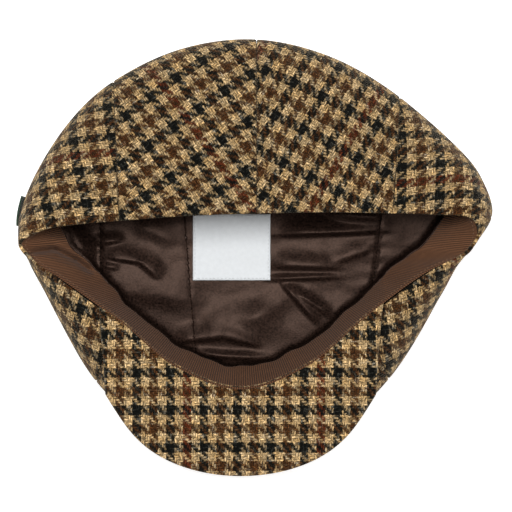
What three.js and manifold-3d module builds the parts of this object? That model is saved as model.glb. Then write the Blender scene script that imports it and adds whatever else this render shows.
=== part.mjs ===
import * as THREE from "three";
import Module from "manifold-3d";

// A tweed cap in eight panels, lying on its crown with the opening up.
// Lengths are millimetres: the back is toward +Y, the peak toward -Y, and the floor is z = 0.

// Cloth thicknesses, and the gaps kept between neighbours
const WALL = 2.0;
const LINING = 1.0;
const BAND = 1.0;
const PEAK_THICK = 4.0;
const LABEL_THICK = 1.0;
const TAB_THICK = 1.0;
const GAP = 0.3;
const SEAM = 0.4;

// Overall sizes
const HALF_SPAN = 134.8;
const BAND_WIDTH = 30;
const BAND_INSET = WALL + 3 * GAP + BAND / 2;
const CROWN_TOP = new THREE.Vector3(0, 10, 0);

// Half of the cap from centre back round to centre front, a row for each section.
// rim is the crown's edge at the opening, edge the crown's outline, band the sweatband's free edge.
// tuck is how far the rim lies below the sweatband's top, puff how full the wall is.
const SECTIONS = table(
  ["at", "rimX", "rimY", "bandZ", "edgeX", "edgeY", "edgeZ", "bandX", "bandY", "tuck", "puff"],
  [
    ["centre back", 0, 24.8, 43.0, 0, 124.3, 16, 0, 51.6, -3.0, 0.72],
    ["mid back", 38.2, 24.5, 43.0, 42.8, 116.6, 16, 38.0, 51.0, -3.0, 0.76],
    ["back seam", 77.2, 22.8, 43.0, 81.8, 95.8, 16, 76.0, 50.0, -3.0, 0.72],
    ["mid side", 101.7, 21.4, 42.2, 110.6, 69.5, 15, 97.0, 46.0, -3.8, 0.74],
    ["side", 119.7, 19.0, 42.1, 128.8, 42.8, 15, 105.0, 32.0, -3.9, 0.72],
    ["side seam", 129.0, 11.4, 43.7, 134.8, 19.4, 14, 102.0, 9.0, -2.1, 0.66],
    ["side front", 123.0, 0.4, 44.4, 126.0, 0, 14, 94.0, 0, -1.8, 0.66],
    ["mid front side", 105.5, -10.8, 46.6, 111.2, -22.0, 14, 84.5, -6.6, 0.2, 0.8],
    ["front seam", 70.4, -35.5, 45.8, 85.0, -67.3, 14, 62.0, -29.6, 4.5, 0.72],
    ["mid front", 38.7, -62.1, 39.0, 52.2, -97.2, 12, 32.5, -52.2, 4.5, 0.45],
    ["centre front", 0, -75.8, 36.0, 0, -110.9, 12, 0, -62.4, 4.5, 0.4],
  ],
);
const HALF = SECTIONS.length - 1;
const ROUND = 2 * HALF;

// The crown's panels from seam to seam, by section number going round from centre back to the right
const PANELS = table(
  ["node", "from", "to", "steps"],
  [
    ["panel_back_right", 0, 2, 8],
    ["panel_side_right", 2, 5, 9],
    ["panel_front_side_right", 5, 8, 9],
    ["panel_front_right", 8, 10, 6],
    ["panel_front_left", 10, 12, 6],
    ["panel_front_side_left", 12, 15, 9],
    ["panel_side_left", 15, 18, 9],
    ["panel_back_left", 18, 20, 8],
  ],
);
const PANEL_STEPS = { wall: 8, fold: 4, floor: 3 };
const PANEL_TIP = 0.985;

// Shape of a section: how its wall leaves the rim, and how far its fold rolls in under the crown
const SHOULDER = { along: 0.4, slump: 0.3 };
const FOLD = { inward: 22, drop: 0.4, run: 0.6 };

// How the soft cap lies askew: drift is along X, rise and fall along Y toward the right
const ASKEW = { backDrift: 1.8, peakDrift: -7.2, driftFrom: 25, driftTo: -30, sideHold: 0.4 };
const SIDE_RISE = { most: 4.0, at: 12, reach: 60 };
const BACK_FALL = { most: 7.5, from: 45, to: 95 };

// Peak: half width and depth of its round front, how far round that goes and how much slimmer it is
// near its ends, its tip and how it bends across, and how many sections from centre front its ends lie
const PEAK = { half: 76.4, front: 57, sweep: 80, slim: 2.2, tipY: -124.3, tipZ: 30.7, bend: 177, ends: 2.35 };
const PEAK_STEPS = { across: 22, deep: [0, 0.05, 0.25, 0.5, 0.75, 0.95, 1] };
const PEAK_ROUNDING = 0.6;
const BAND_STEPS = { round: 60, wide: 3 };

// Lining: places down a section, how far it fills out over the floor, its seams, and its main folds
const LINING_ROWS = [0.25, 0.5, 0.75, 1, 1.5, 2, 2.14, 2.28, 2.42, 2.56, 2.7, 2.84, 2.94];
const LOFT = { height: 3, from: 2, to: 2.4 };
const LINING_SEAMS = { outerLeft: -87.5, midLeft: -37.5, outerRight: 72.5 };
const FOLDS = table(
  ["x", "y", "turn", "length", "width", "height"],
  [
    [46, 14, 3, 56, 13, 5],
    [38, -11, 8, 34, 12, 4],
    [28, -30, -52, 30, 12, 3.5],
    [-72, -5, -20, 30, 12, 3.5],
    [-66, 15, 10, 28, 13, 3],
    [-20, -42, 4, 48, 14, 4],
  ],
);

// Label on the lining, and the tab in the left side seam
const LABEL = { x: -12.5, y: 7, wide: 44.4, deep: 40, steps: 6 };
const TAB = { from: 15.1, to: 15.75, high: 12, flare: 1.2, steps: 5 };

const MATERIALS = {
  tweed: { color: 0x8a6f4a, roughness: 0.95, metalness: 0 },
  satin: { color: 0x3e302a, roughness: 0.4, metalness: 0 },
  ribbon: { color: 0x60442f, roughness: 0.75, metalness: 0 },
  labelCloth: { color: 0xe2e6e8, roughness: 0.8, metalness: 0 },
  tabCloth: { color: 0x1e3c28, roughness: 0.8, metalness: 0 },
};

// Rows of a table as objects with named columns
function table(columns, rows) {
  return rows.map((row) => Object.fromEntries(columns.map((name, i) => [name, row[i]])));
}

function mix(a, b, share) {
  return THREE.MathUtils.lerp(a, b, share);
}

function ease(value, from, to) {
  return THREE.MathUtils.smoothstep(value, from, to);
}

// A closed smooth line through one point of every section, right side first and then the left
function rail(pointOf) {
  const points = [];
  for (let k = 0; k < ROUND; k++) {
    const right = k <= HALF;
    points.push(pointOf(SECTIONS[right ? k : ROUND - k], right ? 1 : -1));
  }
  return new THREE.CatmullRomCurve3(points, true, "centripetal");
}

const RAILS = {
  rim: rail((r, side) => new THREE.Vector3(side * r.rimX, r.rimY, r.bandZ - r.tuck)),
  edge: rail((r, side) => new THREE.Vector3(side * r.edgeX, r.edgeY, r.edgeZ)),
  bandTop: rail((r, side) => new THREE.Vector3(side * r.rimX, r.rimY, r.bandZ)),
  bandFree: rail((r, side) => new THREE.Vector3(side * r.bandX, r.bandY, r.bandZ)),
  puff: rail((r) => new THREE.Vector3(r.puff, 0, 0)),
};

function onRail(name, k) {
  return RAILS[name].getPoint((((k % ROUND) + ROUND) % ROUND) / ROUND);
}

// Moves a point of the straight cap to where the askew cap has it
function askew(p) {
  const across = p.x / HALF_SPAN;
  const towardPeak = 1 - ease(p.y, ASKEW.driftTo, ASKEW.driftFrom);
  const nearSides = 1 - ease(Math.abs(p.y - SIDE_RISE.at), 0, SIDE_RISE.reach);
  const nearBack = ease(p.y, BACK_FALL.from, BACK_FALL.to);
  const held = 1 - ASKEW.sideHold * nearSides * Math.abs(across);
  p.x += held * mix(ASKEW.backDrift, ASKEW.peakDrift, towardPeak);
  p.y += across * (SIDE_RISE.most * nearSides - BACK_FALL.most * nearBack);
  return p;
}

// Outside of the crown: s runs to 1 down the wall, to 2 round the fold, to 3 along the floor
function crown(k, s) {
  const rim = onRail("rim", k);
  const edge = onRail("edge", k);
  const inward = CROWN_TOP.clone().sub(edge).setZ(0).normalize();
  const floor = edge.clone().addScaledVector(inward, FOLD.inward).setZ(0);
  if (s > 2) return askew(floor.lerp(CROWN_TOP, s - 2));
  if (s > 1) {
    const down = edge.clone().setZ(edge.z * FOLD.drop);
    const under = floor.clone().addScaledVector(inward, -FOLD.inward * FOLD.run);
    return askew(new THREE.CubicBezierCurve3(edge, down, under, floor).getPoint(s - 1));
  }
  const puff = onRail("puff", k).x;
  const shoulder = mix(rim.z, edge.z, SHOULDER.slump * (1 - puff));
  const leave = rim.clone().lerp(edge, SHOULDER.along).setZ(shoulder);
  const arrive = edge.clone().setZ(mix(edge.z, rim.z, puff));
  return askew(new THREE.CubicBezierCurve3(rim, leave, arrive, edge).getPoint(s));
}

// Outward direction of a surface, by a small step each way along both of its directions
function outward(surface, a, b, stepA, stepB) {
  const across = surface(a + stepA, b).sub(surface(a - stepA, b));
  const along = surface(a, b + stepB).sub(surface(a, b - stepB));
  return across.cross(along).normalize();
}

const STEP = { round: 0.02, along: 0.004, face: 0.01 };

function crownOut(k, s) {
  const inside = THREE.MathUtils.clamp(s, STEP.along, 3 - 2 * STEP.along);
  return outward(crown, k, inside, STEP.round, STEP.along);
}

// A closed body between two sheets of points; wrap joins it round, and tips close its far end
function bodyBetween(nI, nJ, outer, inner, { wrap = false, tips = null } = {}) {
  const columns = wrap ? nI : nI + 1;
  const half = columns * (nJ + 1);
  const points = [];
  for (const sheet of [outer, inner])
    for (let i = 0; i < columns; i++)
      for (let j = 0; j <= nJ; j++) points.push(sheet(i, j));
  const index = [];
  const id = (sheet, i, j) => sheet * half + (i % columns) * (nJ + 1) + j;
  const quad = (a, b, c, d) => index.push(a, b, c, a, c, d);
  for (let i = 0; i < nI; i++) {
    for (let j = 0; j < nJ; j++) {
      quad(id(0, i, j), id(0, i + 1, j), id(0, i + 1, j + 1), id(0, i, j + 1));
      quad(id(1, i, j), id(1, i, j + 1), id(1, i + 1, j + 1), id(1, i + 1, j));
    }
    quad(id(0, i, 0), id(1, i, 0), id(1, i + 1, 0), id(0, i + 1, 0));
    if (tips) {
      index.push(id(0, i, nJ), id(0, i + 1, nJ), 2 * half);
      index.push(id(1, i + 1, nJ), id(1, i, nJ), 2 * half + 1);
    } else quad(id(0, i + 1, nJ), id(1, i + 1, nJ), id(1, i, nJ), id(0, i, nJ));
  }
  if (tips) points.push(...tips);
  if (!wrap)
    for (let j = 0; j < nJ; j++) {
      quad(id(0, 0, j), id(0, 0, j + 1), id(1, 0, j + 1), id(1, 0, j));
      quad(id(0, nI, j + 1), id(0, nI, j), id(1, nI, j), id(1, nI, j + 1));
    }
  return new THREE.BufferGeometry().setFromPoints(points).setIndex(index);
}

// Places down a crown panel, closest round the fold
function panelRows() {
  const rows = [];
  for (let j = 0; j <= PANEL_STEPS.wall; j++) rows.push(j / PANEL_STEPS.wall);
  for (let j = 1; j <= PANEL_STEPS.fold; j++) rows.push(1 + j / PANEL_STEPS.fold);
  for (let j = 1; j <= PANEL_STEPS.floor; j++) rows.push(2 + (PANEL_TIP * j) / PANEL_STEPS.floor);
  return rows;
}

// Half the seam's gap at a place, as a share of a section
function halfSeam(k, s) {
  const reach = crown(k + STEP.round, s).distanceTo(crown(k - STEP.round, s));
  return (SEAM * STEP.round) / reach;
}

function crownPanel({ from, to, steps }) {
  const rows = panelRows();
  const at = (i, j) => mix(from + halfSeam(from, rows[j]), to - halfSeam(to, rows[j]), i / steps);
  const outer = (i, j) => crown(at(i, j), rows[j]);
  const inner = (i, j) => outer(i, j).addScaledVector(crownOut(at(i, j), rows[j]), -WALL);
  return bodyBetween(steps, rows.length - 1, outer, inner);
}

// Height of the lining's folds over a place on the crown's floor
function foldHeight(x, y) {
  let height = 0;
  for (const fold of FOLDS) {
    const turn = THREE.MathUtils.degToRad(fold.turn);
    const along = (x - fold.x) * Math.cos(turn) + (y - fold.y) * Math.sin(turn);
    const aside = (y - fold.y) * Math.cos(turn) - (x - fold.x) * Math.sin(turn);
    const reach = Math.exp(-((2 * along / fold.length) ** 4));
    height += fold.height * reach * Math.exp(-((2 * aside / fold.width) ** 2));
  }
  return height;
}

function liningLift(p, s) {
  return ease(s, LOFT.from, LOFT.to) * (LOFT.height + foldHeight(p.x, p.y));
}

// The lining as one bag, before it is divided at its seams
function liningBag() {
  const stops = PANELS.flatMap(({ from, to, steps }) =>
    Array.from({ length: steps }, (_, i) => mix(from, to, i / steps)),
  );
  const lifted = (p, s, depth, out) => {
    const lift = liningLift(p, s);
    p.addScaledVector(out, -depth);
    p.z += lift;
    return p;
  };
  const place = (k, s, depth) => lifted(crown(k, s), s, depth, crownOut(k, s));
  const sheet = (depth) => (i, j) => place(stops[i], LINING_ROWS[j], depth);
  const down = new THREE.Vector3(0, 0, -1);
  const tip = (depth) => lifted(askew(CROWN_TOP.clone()), LOFT.to, depth, down);
  const near = WALL + GAP;
  const far = near + LINING;
  const shape = { wrap: true, tips: [tip(near), tip(far)] };
  return bodyBetween(stops.length, LINING_ROWS.length - 1, sheet(near), sheet(far), shape);
}

// Divides a body by planes across X into pieces that lie a gap apart
function divideAcross(body, pieces) {
  const whole = new wasm.Manifold(
    new wasm.Mesh({
      numProp: 3,
      vertProperties: body.attributes.position.array,
      triVerts: new Uint32Array(body.index.array),
    }),
  );
  return pieces.map(({ node, left, right }) => {
    let cut = whole;
    if (left !== null) cut = cut.trimByPlane([1, 0, 0], left + GAP / 2);
    if (right !== null) cut = cut.trimByPlane([-1, 0, 0], GAP / 2 - right);
    const { vertProperties, triVerts } = cut.getMesh();
    const geometry = new THREE.BufferGeometry();
    geometry.setAttribute("position", new THREE.Float32BufferAttribute(vertProperties, 3));
    geometry.setIndex(Array.from(triVerts));
    return { node, geometry };
  });
}

// The peak's upper face here, which is its underside when worn:
// q runs from its left end to its right end, r from the sweatband to its front
function peakFace(q, r) {
  const k = HALF - PEAK.ends * q;
  const rear = onRail("bandTop", k);
  const toBand = onRail("bandFree", k).sub(rear).setZ(0).normalize();
  rear.addScaledVector(toBand, BAND_INSET - BAND / 2 - GAP);
  const turn = q * THREE.MathUtils.degToRad(PEAK.sweep);
  const slim = PEAK.slim * Math.sin(Math.PI * Math.abs(q) ** 3) * Math.sign(q);
  const front = new THREE.Vector3(PEAK.half * Math.sin(turn) - slim, PEAK.tipY, PEAK.tipZ);
  front.y += PEAK.front * (1 - Math.cos(turn));
  front.z += front.x ** 2 / (2 * PEAK.bend);
  return askew(rear.lerp(front, r));
}

function peak() {
  const nI = PEAK_STEPS.across;
  const nJ = PEAK_STEPS.deep.length - 1;
  const place = (i, j, depth) => {
    const q = (2 * i) / nI - 1;
    const r = PEAK_STEPS.deep[j];
    const inside = THREE.MathUtils.clamp(r, STEP.face, 1 - STEP.face);
    const away = outward(peakFace, q * (1 - STEP.face), inside, STEP.face, STEP.face);
    return peakFace(q, r).addScaledVector(away, depth);
  };
  const rounding = (i, j) => (i % nI === 0 || j % nJ === 0 ? PEAK_ROUNDING : 0);
  const under = (i, j) => place(i, j, PEAK_THICK - rounding(i, j));
  const upper = (i, j) => place(i, j, rounding(i, j));
  return bodyBetween(nI, nJ, under, upper);
}

// Middle of the sweatband's ribbon: w runs from the rim to its free edge
function bandFace(k, w) {
  const top = onRail("bandTop", k);
  const toFree = onRail("bandFree", k).sub(top).setZ(0);
  const run = Math.min(toFree.length() - BAND_INSET, BAND_WIDTH * (1 - GAP / 10));
  const drop = Math.sqrt(BAND_WIDTH ** 2 - run ** 2);
  top.addScaledVector(toFree.normalize(), BAND_INSET + run * w);
  top.z -= drop * w;
  return askew(top);
}

function sweatband() {
  const at = (i) => (i * ROUND) / BAND_STEPS.round;
  const side = (shift) => (i, j) => {
    const w = j / BAND_STEPS.wide;
    const inside = THREE.MathUtils.clamp(w, STEP.face, 1 - STEP.face);
    const out = outward(bandFace, at(i), inside, STEP.round, STEP.face);
    return bandFace(at(i), w).addScaledVector(out, shift);
  };
  return bodyBetween(BAND_STEPS.round, BAND_STEPS.wide, side(BAND / 2), side(-BAND / 2), { wrap: true });
}

// The label lies on the lining where that fills out
function label() {
  const level = WALL + GAP + LINING + LOFT.height + GAP;
  const place = (i, j, lift) => {
    const x = LABEL.x + LABEL.wide * (i / LABEL.steps - 0.5);
    const y = LABEL.y + LABEL.deep * (0.5 - j / LABEL.steps);
    return new THREE.Vector3(x, y, level + lift + foldHeight(x, y));
  };
  const under = (i, j) => place(i, j, 0);
  const upper = (i, j) => place(i, j, LABEL_THICK);
  return bodyBetween(LABEL.steps, LABEL.steps, under, upper);
}

// The tab stands along the outline, its end a little way off the cloth
function sideTab() {
  const place = (i, j, off) => {
    const share = i / TAB.steps;
    const k = mix(TAB.from, TAB.to, share);
    const out = crownOut(k, 1).setZ(0).normalize();
    const p = crown(k, 1).addScaledVector(out, GAP + off + TAB.flare * share ** 2);
    p.z += TAB.high * (0.5 - j);
    return p;
  };
  const outer = (i, j) => place(i, j, TAB_THICK);
  const inner = (i, j) => place(i, j, 0);
  return bodyBetween(TAB.steps, 1, outer, inner);
}

function add(name, geometry, material) {
  const mesh = new THREE.Mesh(geometry, new THREE.MeshStandardMaterial(MATERIALS[material]));
  mesh.name = name;
  cap.add(mesh);
}

const wasm = await Module();
wasm.setup();

const cap = new THREE.Group();
for (const panel of PANELS) add(panel.node, crownPanel(panel), "tweed");
add("peak", peak(), "tweed");
add("sweatband", sweatband(), "ribbon");
const { outerLeft, midLeft, outerRight } = LINING_SEAMS;
const linings = divideAcross(liningBag(), [
  { node: "lining_left", left: null, right: outerLeft },
  { node: "lining_mid_left", left: outerLeft, right: midLeft },
  { node: "lining_mid_right", left: midLeft, right: outerRight },
  { node: "lining_right", left: outerRight, right: null },
]);
for (const { node, geometry } of linings) add(node, geometry, "satin");
add("label", label(), "labelCloth");
add("side_tab", sideTab(), "tabCloth");

export default cap;
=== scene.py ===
"""A tweed cap in eight panels, lying on its crown with the opening up, seen from straight above."""

import math

import bmesh
import bpy
import numpy as np
from mathutils.kdtree import KDTree
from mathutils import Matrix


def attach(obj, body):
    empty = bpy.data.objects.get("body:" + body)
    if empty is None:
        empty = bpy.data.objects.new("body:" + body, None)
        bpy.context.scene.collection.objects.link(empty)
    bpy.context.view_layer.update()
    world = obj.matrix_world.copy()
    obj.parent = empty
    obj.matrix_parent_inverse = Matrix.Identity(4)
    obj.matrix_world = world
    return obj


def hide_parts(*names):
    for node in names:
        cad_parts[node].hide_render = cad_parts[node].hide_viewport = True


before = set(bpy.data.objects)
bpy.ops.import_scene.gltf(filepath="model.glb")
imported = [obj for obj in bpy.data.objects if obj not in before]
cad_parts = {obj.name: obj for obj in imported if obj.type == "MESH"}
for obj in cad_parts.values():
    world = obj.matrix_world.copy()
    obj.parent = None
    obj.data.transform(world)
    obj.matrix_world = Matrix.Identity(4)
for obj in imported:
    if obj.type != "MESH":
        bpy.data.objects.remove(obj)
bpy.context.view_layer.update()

MM = 0.001
TINY = 1e-6

# The photograph's scale and the place of the frame's origin in it
MM_PER_PIXEL = 0.57
IMAGE_PIXELS = 512
ORIGIN_PIXEL = (253.5, 257.5)

# Cloth thicknesses, and the gaps kept between neighbours, in millimetres
WALL = 2.0
LINING = 1.0
BAND = 1.0
PEAK_THICK = 4.0
LABEL_THICK = 1.0
TAB_THICK = 1.0
GAP = 0.3
SEAM = 0.12

# How far from its edge a sheet begins to round off, as a share of its thickness
EDGE_ROUND = 0.55

# Overall sizes
HALF_SPAN = 134.8
BAND_WIDTH = 30
BAND_SEAT = 1.4
BAND_LIMIT = 29.1
BAND_EASE = 4.0
CROWN_TOP = np.array([0.0, 10.0, 0.0])
FLAT = np.array([1.0, 1.0, 0.0])
UP = np.array([0.0, 0.0, 1.0])

# Half of the cap from centre back round to centre front, a row for each section, as in the part's source
COLUMNS = ("at", "rimX", "rimY", "bandZ", "edgeX", "edgeY", "edgeZ", "bandX", "bandY", "tuck", "puff")
SECTIONS = (
    ("centre back", 0, 24.8, 43.0, 0, 124.3, 16, 0, 51.6, -3.0, 0.72),
    ("mid back", 38.2, 24.5, 43.0, 42.8, 116.6, 16, 38.0, 51.0, -3.0, 0.76),
    ("back seam", 77.2, 22.8, 43.0, 81.8, 95.8, 16, 76.0, 50.0, -3.0, 0.72),
    ("mid side", 101.7, 21.4, 42.2, 110.6, 69.5, 15, 97.0, 46.0, -3.8, 0.74),
    ("side", 119.7, 19.0, 42.1, 128.8, 42.8, 15, 105.0, 32.0, -3.9, 0.72),
    ("side seam", 129.0, 11.4, 43.7, 134.8, 19.4, 14, 102.0, 9.0, -2.1, 0.66),
    ("side front", 123.0, 0.4, 44.4, 126.0, 0, 14, 94.0, 0, -1.8, 0.66),
    ("mid front side", 105.5, -10.8, 46.6, 111.2, -22.0, 14, 84.5, -6.6, 0.2, 0.8),
    ("front seam", 70.4, -35.5, 45.8, 85.0, -67.3, 14, 62.0, -29.6, 4.5, 0.72),
    ("mid front", 38.7, -62.1, 39.0, 52.2, -97.2, 12, 32.5, -52.2, 4.5, 0.45),
    ("centre front", 0, -75.8, 36.0, 0, -110.9, 12, 0, -62.4, 4.5, 0.4),
)
HALF = len(SECTIONS) - 1
ROUND = 2 * HALF

# Where the two sides of the cap differ: rail, section round the cap, and the move in x, y and z
NUDGES = (
    ("rim", 15, -3.8, 0.0, 0.0),
    ("bandTop", 15, -3.8, 0.0, 0.0),
    ("rim", 4, 2.0, -0.2, 0.0),
    ("bandTop", 4, 2.0, -0.2, 0.0),
    ("rim", 5, -1.4, -1.4, 0.0),
    ("bandTop", 5, -1.2, -1.4, 0.0),
    ("rim", 6, 0.8, 0.0, 0.0),
    ("bandTop", 6, 2.0, -0.8, 0.0),
    ("edge", 6, -5.5, -3.0, 0.0),
    ("rim", 7, -0.8, 1.5, 1.0),
    ("bandTop", 7, -0.8, 1.5, 0.0),
    ("edge", 7, 1.2, -1.6, 0.0),
    ("edge", 8, -0.6, -1.9, 0.0),
    ("edge", 12, 2.4, -3.2, 0.0),
    ("rim", 12, 0.0, 0.0, 0.8),
    ("rim", 13, 0.0, 0.0, 1.9),
    ("bandFree", 4, 6.0, 0.0, 0.0),
    ("bandFree", 5, 0.0, 3.0, 0.0),
    ("bandFree", 6, 0.0, 3.5, 0.0),
    ("bandFree", 7, 0.0, 1.2, 0.0),
    ("bandFree", 14, -1.0, 2.5, 0.0),
    ("bandFree", 15, -3.0, 4.5, 0.0),
    ("bandFree", 16, -9.0, 0.0, 0.0),
)

# Shape of a section, and how the soft cap lies askew
SHOULDER_ALONG = 0.4
SHOULDER_SLUMP = 0.3
FOLD_INWARD = 22
FOLD_DROP = 0.4
FOLD_RUN = 0.6
BACK_DRIFT = 1.8
PEAK_DRIFT = -7.2
DRIFT_SPAN = (-30, 25)
SIDE_HOLD = 0.4
SIDE_RISE = 4.0
SIDE_LINE = 12
SIDE_REACH = 60
BACK_FALL = 7.5
BACK_FALL_SPAN = (45, 95)

# Peak
PEAK_HALF = 76.4
PEAK_FRONT = 57
PEAK_SWEEP = math.radians(80)
PEAK_SLIM = 2.2
PEAK_TIP = np.array([0.0, -124.3, 30.7])
PEAK_BEND = 177
PEAK_ENDS = 2.35
PEAK_TUCK = 2.6

# The crown's panels from seam to seam. Home is the pixel in the middle of one dark tooth of the check,
# tooth is its column and row in the repeat, and across and along are the steps in pixels, with y up,
# to the next dark tooth in its row and in its column
PANELS = {
    "panel_back_right": dict(
        span=(0, 2), home=(316, 137.5), tooth=(6, 0), across=(13.6, -7.1), along=(9.6, 16.7)
    ),
    "panel_side_right": dict(
        span=(2, 5), home=(438.5, 164.5), tooth=(1, 0), across=(-0.7, 15.1), along=(-18.4, -0.7)
    ),
    "panel_front_side_right": dict(
        span=(5, 8), home=(398, 324.5), tooth=(4, 0), across=(14.1, 5.6), along=(-2.2, 16.9)
    ),
    "panel_front_right": dict(
        span=(8, 10), home=(330, 430), tooth=(0, 0), across=(16, 4), along=(-4, 18)
    ),
    "panel_front_left": dict(
        span=(10, 12), home=(150, 430), tooth=(0, 0), across=(16, -4), along=(4, 18)
    ),
    "panel_front_side_left": dict(
        span=(12, 15), home=(79, 325), tooth=(5, 1), across=(13.5, -7.9), along=(2.9, 16.2)
    ),
    "panel_side_left": dict(
        span=(15, 18), home=(77.5, 157), tooth=(0, 0), across=(2.5, -14.7), along=(18.5, 3.2)
    ),
    "panel_back_left": dict(
        span=(18, 20), home=(187, 119), tooth=(0, 0), across=(12.6, 9.2), along=(-11.4, 15.7)
    ),
}
TOOTH_THREADS = 8
TOOTH_MIDDLE = 0.25
DARK_THREADS = 4
FLOAT_THREADS = 2
RUST_EVERY = 8
# Painted light and shade: the peak's wool is painted brighter and the crown's a little darker, as the lamps
# light the crown more than the peak
CROWN_PAINTED_SHADE = 0.99
PEAK_PAINTED_LIGHT = 1.08
PEAK_HOME = (187.6, 409)
PEAK_TOOTH = (16.6, 18.7)

# Sweatband: its creases, with the columns of a fold, and the waves of its free edge
BAND_CREASES = (
    (-118.4, 3.6, 8, 15, -6.0, 2.6, 1.5),
    (-106.8, 1.2, -27, 16, -7.0, 2.6, 1.5),
    (-96.8, -4.8, -38, 13, -6.0, 2.6, 1.5),
    (-108.0, -4.4, -22, 32, 2.6, 2.0, 6.0),
    (74.4, -16.8, 96, 14, 1.4, 5.0, 1.0),
)
BAND_WAVES = ((0.5, 31, 0.6), (0.35, 17, 2.0))

# Lining: how it lifts off the crown, its seams by their x at y = 0, lean and pinch, and its folds
LOFT = 3.0
LOFT_SPAN = (1.5, 2.05)
LEAST_LIFT = 0.2
LINING_SEAMS = ((-87.6, 0.0, 0.9), (-37.6, -0.08, 0.25), (70.1, 0.13, 0.9))
LINING_FOLDS = (
    # x, y, turn, length, height, width toward the back, width toward the front
    (44, 14.4, 2, 54, 5.5, 6.5, 1.5),
    (60, 24.0, -4, 28, 5.0, 6.0, 3.2),
    (30, -4.8, -2, 36, 4.2, 7.5, 2.0),
    (29, -11.6, 2, 38, 3.0, 2.4, 1.2),
    (26.7, -26.1, -48, 26, 3.8, 5.0, 1.4),
    (35.2, -27.2, -35, 19, 2.8, 3.6, 1.3),
    (58, 2.0, 20, 22, 2.0, 5.0, 2.1),
    (-82, 9.2, 9, 13, 2.2, 4.0, 1.3),
    (-73, -1.2, -8, 19, 2.6, 6.0, 1.4),
    (-60, -6.4, -39, 15, 2.4, 6.0, 1.5),
    (-82, -5.4, -10, 9, 1.3, 3.0, 1.1),
    (-56, 14, -20, 24, 1.4, 6.0, 4.0),
    (-30, -46.4, 5, 25, 3.8, 6.0, 1.5),
    (-8, -47.3, -13, 21, 3.8, 6.0, 1.5),
    (-14, -56.6, -3, 40, 3.2, 3.0, 1.4),
    (-8, -37, 0, 40, 3.0, 9.0, 9.0),
    (8, -30, 30, 30, 2.0, 8.0, 5.0),
    (-102, 12, -55, 30, -4.6, 6.0, 5.0),
    (-64, -20, -8, 60, 3.2, 24.0, 6.0),
)
LINING_RIPPLE = dict(size=0.28, lengths=(16, 44), waves=7, seed=5)
PINCH = dict(wide=1.3, pucker=0.45, every=8.5, reach=5.0)

# The dip that the lining makes along the sweatband's free edge, and the cushion beyond it
MOAT = dict(deep=4.6, wide=1.1, cushion=2.4, reach=2.2)

# Label, tab, and the rows of stitches
LABEL = dict(x=-12.5, y=5.9, wide=44.4, deep=38.0)
TAB = dict(start=15.1, end=15.75, high=12, flare=1.2)
BAND_STITCH = dict(place=0.085, pitch=2.3, length=1.4, radius=0.26)
LABEL_STITCH = dict(inset=1.3, pitch=2.2, length=1.5, radius=0.2)

# A stitch from end to end: place along its length, and girth and lift in radii
STITCH_RINGS = ((-0.5, 0.45, -0.6), (-0.3, 0.9, 0.3), (0.0, 1.0, 0.6), (0.3, 0.9, 0.3), (0.5, 0.45, -0.6))
STITCH_SIDES = 6
STITCH_AHEAD = 0.2

# Cut sizes of the flat cloth in metres, and its area where the cut isn't a rectangle
LINING_CUTS = {
    "lining_left": dict(flat=(0.085, 0.165), area=0.0104),
    "lining_mid_left": dict(flat=(0.06, 0.3), area=0.0155),
    "lining_mid_right": dict(flat=(0.13, 0.31), area=0.0366),
    "lining_right": dict(flat=(0.105, 0.18), area=0.0134),
}

# Small steps for reading a surface's slope: round the cap, down a section, and over a share of a sheet
STEP_ROUND = 0.02
STEP_DOWN = 0.004
STEP_SHARE = 0.01

# How far down a section the slope is read, and how far the panels and the lining reach
SLOPE_END = 2.99
PANEL_TIP = 2.985
LINING_TIP = 2.97

# How finely sheets are divided: a count, and the places nearest to an edge as shares of the way across
PANEL_ACROSS = (46, (0.004, 0.012, 0.03))
PEAK_GRID = ((110, (0.002, 0.006, 0.015)), (44, (0.004, 0.015, 0.04)))
BAND_ACROSS = (28, (0.006, 0.02, 0.05))
LABEL_GRID = ((24, (0.01, 0.03)), (24, (0.01, 0.03)))
TAB_GRID = ((16, (0.01, 0.04)), (10, (0.01, 0.04)))
ALL_SIDES = ("first", "last", "near", "far")

# Points round the cap, along the band's edge for measuring, and along the two rows of stitches
BAND_ROUND = 900
LINING_ROUND = 520
BAND_EDGE_POINTS = 1600
SECTION_STITCH_POINTS = 60
LABEL_SIDE_POINTS = 100

# Laying a panel flat: the wall shows and counts in full, the hidden floor of the crown gives way
FLATTEN_ROUNDS = 60
STIFF_LIMITS = (0.02, 20)
SHOWN_TO = 1.3
HIDDEN_WEIGHT = 0.08

# Fitting the check: how many points near home are read, and how points low on the wall are put off
FIT_POINTS = 24
FIT_LEVEL = 20
FIT_PUT_OFF = 3

# Cutting the lining, with ends that lie well outside of the cap
BEYOND = 999
CUT_SNAP = 1e-7

# Camera, lights and floor, in metres and watts. The photograph's scale holds at the scale level
CAMERA_AWAY = 3.0
SCALE_LEVEL = 0.015
CAMERA_FAR = 20
SENSOR = 36
WORLD_STRENGTH = 0.36
KEY_LIGHT = dict(place=(-0.1, 0.44, 1.62), power=25.5, size=0.8)
FILL_LIGHT = dict(place=(0.6, -0.4, 1.6), power=7, size=1.5)
FLOOR_HALF = 3
FLOOR_LEVEL = -0.0003


def down_rows(first, wall, fold, floor, tip):
    """Places down a section from the first to the tip, so many on each of its three stretches."""
    return np.concatenate([
        np.linspace(first, 1, wall),
        np.linspace(1, 2, fold)[1:],
        np.linspace(2, tip, floor)[1:],
    ])


PANEL_ROWS = np.concatenate([[0, 0.004, 0.012, 0.025], down_rows(0.04, 44, 17, 26, PANEL_TIP)])
LINING_ROWS = down_rows(0.25, 12, 12, 105, LINING_TIP)
FLAT_ROWS = down_rows(0, 20, 9, 10, PANEL_TIP)
FLAT_SHARES = np.linspace(0, 1, 13)


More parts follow.
